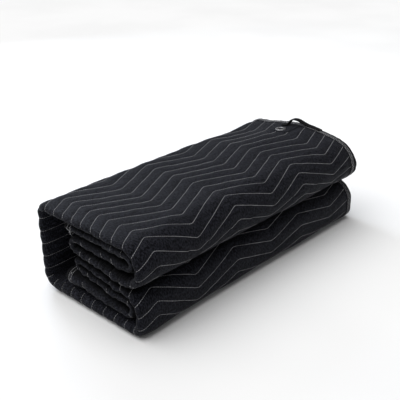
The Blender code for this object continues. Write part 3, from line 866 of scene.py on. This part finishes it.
def make_patch(material):
    """The square patch of folded webbing, with the eyelet's hole and a sunk line of stitches."""
    angle = 2 * math.pi * np.arange(PATCH_STEPS) / PATCH_STEPS
    edge_y, edge_x = rounded_square(angle, PATCH_SIDE_Y, PATCH_SIDE_X)
    hole_y, hole_x = PATCH_HOLE * np.sin(angle), EYELET_X - PATCH_X + PATCH_HOLE * np.cos(angle)
    rings, places = [], []
    for share, height in PATCH_ROWS:
        y = PATCH_Y + hole_y + (edge_y - hole_y) * share
        x = PATCH_X + hole_x + (edge_x - hole_x) * share
        pucker = 0.0003 * noise(angle * 6, share * 3, 31)
        rings.append(on_top(y, x, PATCH_SEAT + PATCH_THICK * height + pucker * (height > 0.5)))
        places.append(np.stack([x, y, np.ones_like(x), np.ones_like(x)], axis=-1))
    rings, places = np.array(rings), np.array(places)
    faces = tube_faces(len(rings), PATCH_STEPS)
    last = (len(rings) - 1) * PATCH_STEPS
    for k in range(PATCH_STEPS):
        n = (k + 1) % PATCH_STEPS
        faces.append([last + k, last + n, n, k])
    if signed_volume(rings, faces) < 0:
        faces = [face[::-1] for face in faces]
    return add_mesh("webbing_patch", rings, faces, material, places)


# The eyelet's turned section: radius, and height over the patch
EYELET_ROWS = [
    (0.0068, -0.0020),
    (0.0068, 0.0002),
    (0.0071, 0.0008),
    (0.0078, 0.0012),
    (0.0088, 0.0013),
    (0.0100, 0.0011),
    (0.0112, 0.0008),
    (0.0121, 0.0005),
    (0.0126, 0.0003),
    (0.0127, 0.0002),
    (0.0125, 0.0001),
    (0.0077, 0.0001),
    (0.0075, -0.0003),
    (0.0075, -0.0020),
]
EYELET_STEPS = 72


def patch_frame():
    """The eyelet's centre and axes on the patch."""
    centre = on_top(PATCH_Y, EYELET_X, PATCH_SEAT + PATCH_THICK)
    up = unit_rows(on_top(PATCH_Y, EYELET_X, PATCH_SEAT + PATCH_THICK + 0.001) - centre)
    along = on_top(PATCH_Y, EYELET_X + 0.001, PATCH_SEAT + PATCH_THICK) - centre
    along = unit_rows(along - up * (along @ up))
    return centre, along, np.cross(up, along), up


def make_eyelet(material):
    """The rolled metal eyelet."""
    centre, along, across, up = patch_frame()
    rings = []
    for k in range(EYELET_STEPS):
        a = 2 * math.pi * k / EYELET_STEPS
        out = along * math.cos(a) + across * math.sin(a)
        rings.append([centre + out * radius + up * rise for radius, rise in EYELET_ROWS])
    rings = np.array(rings)
    around = len(EYELET_ROWS)
    faces = tube_faces(EYELET_STEPS, around)
    for i in range(around):
        n = (i + 1) % around
        faces.append([(EYELET_STEPS - 1) * around + i, (EYELET_STEPS - 1) * around + n, n, i])
    if signed_volume(rings, faces) < 0:
        faces = [face[::-1] for face in faces]
    return add_mesh("metal_eyelet", rings, faces, material)


def curve_through(points, steps):
    """A smooth line through points, with steps between each two of them."""
    points = np.asarray(points, float)
    padded = np.concatenate([[2 * points[0] - points[1]], points, [2 * points[-1] - points[-2]]])
    found = []
    for a, b, c, d in zip(padded, padded[1:], padded[2:], padded[3:]):
        for t in np.arange(steps) / steps:
            bend = 2 * a - 5 * b + 4 * c - d
            turn = -a + 3 * b - 3 * c + d
            found.append(b + 0.5 * t * (c - a + t * (bend + t * turn)))
    return np.array(found + [points[-1]])


# The webbing's section: share of its width, and of its thickness
WEBBING = [(-0.5, 0.3), (-0.5, 0.7), (-0.46, 0.95), (-0.25, 1.0), (0.0, 1.0), (0.25, 1.0), (0.46, 0.95)]
WEBBING += [(0.5, 0.7), (0.5, 0.3), (0.46, 0.05), (0.25, 0.0), (0.0, 0.0), (-0.25, 0.0), (-0.46, 0.05)]


def make_loop(material):
    """The hanging loop of webbing, one foot on the patch and the other on the edge tape."""
    on_patch = PATCH_SEAT + PATCH_THICK + SEAT
    line = [(y, on_patch + h, x) for y, h, x in LOOP_LEFT] + [(y, PATCH_SEAT + h, x) for y, h, x in LOOP_RIGHT]
    line = curve_through(line, 6)
    middle, line = line[:, 2], line[:, :2]
    out = unit_rows(np.gradient(line, axis=0))[:, ::-1] * (1, -1)
    long = np.concatenate([[0], np.cumsum(np.linalg.norm(np.diff(line, axis=0), axis=1))])
    rings, places = [], []
    for here, up, far, at_x in zip(line, out, long, middle):
        x = np.array([at_x + LOOP_WIDE * share for share, _ in WEBBING])
        yh = np.array([here + up * LOOP_THICK * share for _, share in WEBBING])
        rings.append(on_top(yh[:, 0], x, yh[:, 1]))
        places.append(np.stack([x, np.full(len(x), far), np.ones(len(x))], axis=-1))
    return add_sweep("webbing_loop", rings, material, np.array(places))


def make_frays(material):
    """Loose ends of thread that curl out of the free ends and the edge tape."""
    curve = bpy.data.curves.new("loose_threads", "CURVE")
    curve.dimensions = "3D"
    curve.bevel_depth, curve.bevel_resolution = 0.00035, 1
    chance = np.random.default_rng(11)
    roots = [(0.001 + 0.002 * k, 1.0 + 0.16 * k, 0.009) for k in range(5)]
    roots += [(STRIP.long - 0.002 - 0.002 * k, 1.25 + 0.2 * k, 0.007) for k in range(2)]
    for q, t, reach in roots:
        (start, ahead), _ = cloth(q, [t, t + 0.05], 0.0004)
        out = unit_rows(cloth(q, [t], 0.003)[0][0] - start)
        side = unit_rows(ahead - start)
        spline = curve.splines.new("POLY")
        count = 12
        spline.points.add(count - 1)
        swing, phase = chance.uniform(0.3, 0.8), chance.uniform(0, 6)
        for k in range(count):
            w = k / (count - 1)
            place = start + out * reach * w * (1 - 0.4 * w) * 0.5
            place = place + side * reach * swing * math.sin(phase + 4 * w) * w
            place = place + np.array([0, chance.uniform(-0.3, 0.3), -0.6]) * reach * w * w
            spline.points[k].co = (*place, 1.0)
    item = bpy.data.objects.new("loose_threads", curve)
    bpy.context.scene.collection.objects.link(item)
    curve.materials.append(material)
    return item


class Nodes:
    """A material's node tree, with short ways to add to it."""

    def __init__(self, name):
        self.material = bpy.data.materials.new(name)
        self.material.use_nodes = True
        self.tree = self.material.node_tree
        self.shader = self.tree.nodes["Principled BSDF"]

    def add(self, kind, **values):
        node = self.tree.nodes.new("ShaderNode" + kind)
        for key, value in values.items():
            setattr(node, key, value)
        return node

    def link(self, a, b):
        self.tree.links.new(a, b)

    def put(self, target, value):
        if hasattr(value, "is_output"):
            self.link(value, target)
        else:
            target.default_value = value

    def math(self, operation, a, b=0.0, c=0.0):
        node = self.add("Math", operation=operation)
        for socket, value in zip(node.inputs, (a, b, c)):
            self.put(socket, value)
        return node.outputs[0]

    def ramp(self, value, low, high, to_low=0.0, to_high=1.0):
        node = self.add("MapRange", interpolation_type="SMOOTHSTEP")
        for socket, item in zip(node.inputs, (value, low, high, to_low, to_high)):
            self.put(socket, item)
        return node.outputs[0]

    def mix(self, share, a, b):
        node = self.add("Mix", data_type="RGBA")
        self.put(node.inputs[0], share)
        self.put(node.inputs[6], a)
        self.put(node.inputs[7], b)
        return node.outputs[2]

    def noise(self, vector, scale, detail=2.0, rough=0.5):
        node = self.add("TexNoise")
        self.put(node.inputs["Vector"], vector)
        node.inputs["Scale"].default_value = scale
        node.inputs["Detail"].default_value = detail
        node.inputs["Roughness"].default_value = rough
        return node.outputs["Fac"]

    def place(self, name="cloth"):
        """The piece's own place on its cloth, in metres."""
        return self.add("Attribute", attribute_name=name).outputs["Vector"]

    def stretch(self, vector, x, y, z=1.0):
        node = self.add("Mapping")
        self.put(node.inputs["Vector"], vector)
        node.inputs["Scale"].default_value = (x, y, z)
        return node.outputs["Vector"]

    def bump(self, height, distance, strength=1.0, normal=None):
        node = self.add("Bump")
        node.inputs["Strength"].default_value = strength
        node.inputs["Distance"].default_value = distance
        self.link(height, node.inputs["Height"])
        if normal is not None:
            self.link(normal, node.inputs["Normal"])
        return node.outputs["Normal"]

    def finish(self, colour, roughness, normal, **constants):
        self.put(self.shader.inputs["Base Color"], colour)
        self.put(self.shader.inputs["Roughness"], roughness)
        if normal is not None:
            self.link(normal, self.shader.inputs["Normal"])
        for name, value in constants.items():
            self.shader.inputs[name.replace("_", " ")].default_value = value
        return self.material


def weave(nodes, place, across, along):
    """A plain weave's height: threads one way and the other, in turn on top."""
    parts = nodes.add("SeparateXYZ")
    nodes.link(place, parts.inputs[0])
    u = nodes.math("MULTIPLY", parts.outputs[0], math.pi / across)
    v = nodes.math("MULTIPLY", parts.outputs[1], math.pi / along)
    return nodes.math("MULTIPLY", nodes.math("SINE", u), nodes.math("SINE", v)), parts


def cloth_material():
    """Charcoal woven cloth, puckered at its quilting, with painted shade along its quilting lines and in the
    gaps between its inner layers, and painted light and dark streaks on its near fold.
    """
    nodes = Nodes("quilted_charcoal_cloth")
    place = nodes.place()
    threads, parts = weave(nodes, place, 0.0011, 0.0011)
    crest = parts.outputs[2]
    mottle = nodes.noise(nodes.stretch(place, 1, 1, 0), 45, 3, 0.6)
    lint = nodes.noise(nodes.stretch(place, 1, 1, 0), 900, 2, 0.7)
    slub = nodes.noise(nodes.stretch(place, 160, 900, 0), 1, 3, 0.6)
    dark, light = (*CLOTH_DARK, 1.0), (*CLOTH_LIGHT, 1.0)
    tone = nodes.math("MULTIPLY_ADD", mottle, 0.25, nodes.math("MULTIPLY", slub, 0.55))
    speck = nodes.noise(nodes.stretch(place, 460, 190, 0), 1, 1, 0.5)
    tone = nodes.math("MULTIPLY_ADD", speck, 1.6, nodes.math("SUBTRACT", tone, 0.71))
    colour = nodes.mix(nodes.ramp(tone, 0.30, 0.72), dark, light)
    shade = nodes.add("Attribute", attribute_name="shade").outputs["Fac"]
    # Painted shade: darker along the quilting lines where the cloth dips, and darker again in the gaps by the
    # shade attribute
    painted_shade = nodes.math("MULTIPLY", nodes.ramp(crest, 0.0, 0.45, 0.72, 1.0), shade)
    near = nodes.ramp(parts.outputs[0], NEAR_END + 0.012, NEAR_END - 0.004, 0.0, 1.0)
    # Painted light and shade of pleats: light and dark streaks across the colour on the near fold, which also
    # bump it
    streaks = nodes.math("MULTIPLY", nodes.noise(nodes.stretch(place, 22, 230, 0), 1, 2, 0.5), near)
    painted_shade = nodes.math("MULTIPLY", painted_shade, nodes.math("MULTIPLY_ADD", nodes.math("SUBTRACT", streaks, nodes.math("MULTIPLY", near, 0.5)), 2.6, 1.0))
    shaded = nodes.add("Mix", data_type="RGBA", blend_type="MULTIPLY")
    shaded.inputs[0].default_value = 1.0
    nodes.put(shaded.inputs[6], colour)
    grey = nodes.add("CombineColor")
    for socket in grey.inputs[:3]:
        nodes.link(painted_shade, socket)
    nodes.link(grey.outputs[0], shaded.inputs[7])
    pucker = nodes.noise(nodes.stretch(place, 210, 32, 0), 1, 3, 0.55)
    near_seam = nodes.ramp(crest, 0.15, 0.95, 1.0, 0.35)
    height = nodes.math("MULTIPLY", nodes.math("SUBTRACT", pucker, 0.5), near_seam)
    folds = nodes.bump(height, 0.0024)
    lumps = nodes.bump(nodes.noise(nodes.stretch(place, 1, 1, 0), 140, 2, 0.5), 0.0009, 1.0, folds)
    fine = nodes.bump(threads, 0.00018, 0.8, lumps)
    rough = nodes.ramp(lint, 0.2, 0.8, 0.58, 0.78)
    return nodes.finish(shaded.outputs[2], rough, nodes.bump(streaks, 0.0030, 1.0, fine), **CLOTH_FINISH)


def tape_material(name, dark, light, rib):
    """Woven tape with ribs across it."""
    nodes = Nodes(name)
    place = nodes.place()
    parts = nodes.add("SeparateXYZ")
    nodes.link(place, parts.inputs[0])
    ribs = nodes.math("SINE", nodes.math("MULTIPLY", parts.outputs[1], 2 * math.pi / rib))
    cross = nodes.math("SINE", nodes.math("MULTIPLY", parts.outputs[0], 2 * math.pi / (rib * 1.4)))
    height = nodes.math("MULTIPLY_ADD", cross, 0.5, ribs)
    lint = nodes.noise(nodes.stretch(place, 1, 1, 0), 700, 2, 0.6)
    colour = nodes.mix(nodes.ramp(lint, 0.3, 0.75), (*dark, 1.0), (*light, 1.0))
    lumps = nodes.bump(nodes.noise(nodes.stretch(place, 1, 1, 0), 160, 2), 0.0008)
    fine = nodes.bump(height, 0.0002, 0.8, lumps)
    rough = nodes.ramp(lint, 0.2, 0.8, 0.62, 0.85)
    return nodes.finish(colour, rough, fine, **TAPE_FINISH)


def thread_material(name, dark, light):
    """Twisted sewing thread."""
    nodes = Nodes(name)
    place = nodes.add("TexCoord").outputs["Object"]
    strands = nodes.noise(nodes.stretch(place, 1, 1, 1), 1400, 2, 0.6)
    wear = nodes.noise(place, 60, 2, 0.5)
    share = nodes.math("MULTIPLY_ADD", wear, 0.5, nodes.math("MULTIPLY", strands, 0.5))
    colour = nodes.mix(nodes.ramp(share, 0.3, 0.7), (*dark, 1.0), (*light, 1.0))
    return nodes.finish(colour, nodes.ramp(strands, 0.2, 0.8, 0.6, 0.85), nodes.bump(strands, 0.0003))


def metal_material():
    """Bright plated metal, finely brushed."""
    nodes = Nodes("eyelet_metal")
    place = nodes.add("TexCoord").outputs["Object"]
    scratch = nodes.noise(nodes.stretch(place, 1, 1, 3), 900, 3, 0.6)
    stain = nodes.noise(place, 120, 2)
    colour = nodes.mix(nodes.ramp(stain, 0.35, 0.7), (0.24, 0.24, 0.25, 1.0), (0.50, 0.50, 0.51, 1.0))
    rough = nodes.ramp(scratch, 0.25, 0.75, 0.18, 0.38)
    return nodes.finish(colour, rough, nodes.bump(scratch, 0.0001, 0.4), Metallic=1.0)


def floor_material():
    nodes = Nodes("pale_floor")
    place = nodes.add("TexCoord").outputs["Object"]
    tone = nodes.noise(place, 2.0, 2)
    colour = nodes.mix(nodes.ramp(tone, 0.3, 0.7), (0.86, 0.86, 0.86, 1.0), (0.90, 0.90, 0.90, 1.0))
    return nodes.finish(colour, 0.9, None)


def make_floor():
    size = 12.0
    corners = [(-size, -size, 0), (size, -size, 0), (size, size, 0), (-size, size, 0)]
    floor = add_mesh("floor", corners, [[0, 1, 2, 3]], floor_material())


def aim(item, place, target):
    """Puts a camera or light at a place and turns it to look at a target."""
    item.location = place
    item.rotation_euler = (Vector(target) - Vector(place)).to_track_quat("-Z", "Y").to_euler()


def make_studio():
    """A pale room and a wide soft light from above and behind the bundle."""
    make_floor()
    world = bpy.data.worlds.new("studio")
    world.use_nodes = True
    world.node_tree.nodes["Background"].inputs["Color"].default_value = (1.0, 1.0, 1.0, 1.0)
    world.node_tree.nodes["Background"].inputs["Strength"].default_value = WORLD_STRENGTH
    bpy.context.scene.world = world
    bpy.context.scene.view_settings.view_transform = "Standard"
    sun = bpy.data.lights.new("top_light", "SUN")
    sun.energy, sun.angle = SUN_STRENGTH, math.radians(SUN_WIDE)
    item = bpy.data.objects.new("top_light", sun)
    bpy.context.scene.collection.objects.link(item)
    aim(item, SUN_FROM, (0, 0, 0))
    box = bpy.data.lights.new("side_light", "AREA")
    box.size, box.energy, box.color = BOX_SIZE, BOX_POWER, BOX_TINT
    item = bpy.data.objects.new("side_light", box)
    bpy.context.scene.collection.objects.link(item)
    aim(item, BOX_AT, BOX_TARGET)


def make_camera():
    """The camera of the picture, as it stood and was turned."""
    data = bpy.data.cameras.new("camera")
    data.sensor_fit, data.sensor_width = "HORIZONTAL", SENSOR_MM
    data.lens = FOCAL_PX / FRAME_PX * SENSOR_MM
    data.clip_start, data.clip_end = 0.05, 60
    sin_a, cos_a = math.sin(CAMERA_AZIMUTH), math.cos(CAMERA_AZIMUTH)
    back = Vector((sin_a * math.cos(CAMERA_ELEVATION), -cos_a * math.cos(CAMERA_ELEVATION),
                   math.sin(CAMERA_ELEVATION)))
    right = Vector((cos_a, sin_a, 0))
    up = back.cross(right)
    turn = Matrix((right, up, back)).transposed()
    item = bpy.data.objects.new("camera", data)
    item.matrix_world = Matrix.Translation(CAMERA_AT) @ turn.to_4x4()
    bpy.context.scene.collection.objects.link(item)
    bpy.context.scene.camera = item


def own(piece, slot, *nodes):
    """Says where a piece belongs: its body and the part's nodes that it stands for, which it hides. The slot is
    not used.
    """
    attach(piece, "root")
    if nodes:
        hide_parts(*nodes)


def make_pieces():
    charcoal = cloth_material()
    tape = tape_material("binding_tape", (0.0025, 0.0026, 0.0032), (0.0085, 0.0088, 0.0105), 0.0014)
    webbing = tape_material("black_webbing", (0.003, 0.003, 0.003), (0.012, 0.012, 0.013), 0.0018)
    thread = thread_material("light_thread", *THREAD_TONES)
    edge_thread = thread_material("edge_thread", *EDGE_TONES)
    blanket = make_blanket(charcoal)
    own(blanket, "quilted_cloth", "blanket")
    edge = make_edge_binding(tape)
    own(edge, "binding_tape", "binding_edge")
    end_a = make_end_binding("end_tape_a", 0.0, 1.0, tape)
    own(end_a, "binding_tape", "binding_end_a")
    end_b = make_end_binding("end_tape_b", STRIP.total, -1.0, tape)
    own(end_b, "binding_tape", "binding_end_b")
    patch = make_patch(charcoal)
    own(patch, "webbing", "patch")
    eyelet = make_eyelet(metal_material())
    own(eyelet, "eyelet_metal", "eyelet")
    loop = make_loop(webbing)
    own(loop, "webbing", "hang_loop")
    # Painted shade: a darker copy of the light thread for the folds, the underside and the loose threads
    shaded_fold_thread = thread_material("shaded_fold_thread", *SHADED_FOLD_TONES)
    sewn = make_quilting(thread, shaded_fold_thread)
    sewn.append(make_edge_stitches(edge_thread))
    sewn.append(make_end_stitches("end_stitches_a", 0.0, 1.0, thread))
    sewn.append(make_end_stitches("end_stitches_b", STRIP.total, -1.0, thread))
    sewn.append(make_frays(shaded_fold_thread))
    for piece in sewn:
        own(piece, "quilted_cloth")


make_camera()
make_studio()
make_pieces()
